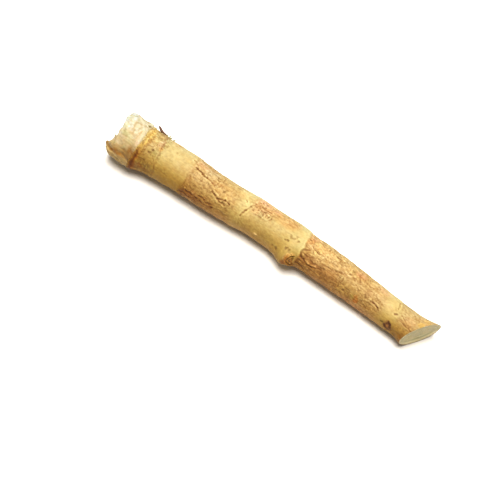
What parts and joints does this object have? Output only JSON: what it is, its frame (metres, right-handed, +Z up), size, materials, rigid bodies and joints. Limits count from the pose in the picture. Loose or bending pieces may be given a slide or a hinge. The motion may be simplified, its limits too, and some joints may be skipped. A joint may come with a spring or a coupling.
{
  "type": "horseradish root",
  "caption": "Fresh horseradish root for peeling and grating: a rough ringed taproot on its side, with cut leaf bases at the thick end and a slanted cut at the thin end.",
  "frame": {"origin": "centre of the root's bounding box, at the level of the surface it lies on", "axes": "+X along the root from the leafy crown to the slanted cut, +Z up, +Y across the root"},
  "size_m": [0.294, 0.0403, 0.0384],
  "materials": {
    "root_skin": "matt tan root skin, pale where smooth and brown in its folds",
    "cut_flesh": "moist grey-white cut root flesh with a cream rim",
    "leaf_base": "pale cream leaf stalk, streaked lengthwise",
    "dry_scale": "dry dark brown scale and fibre"
  },
  "bodies": {
    "root": {"horseradish_root": "root_skin"}
  },
  "joints": []
}
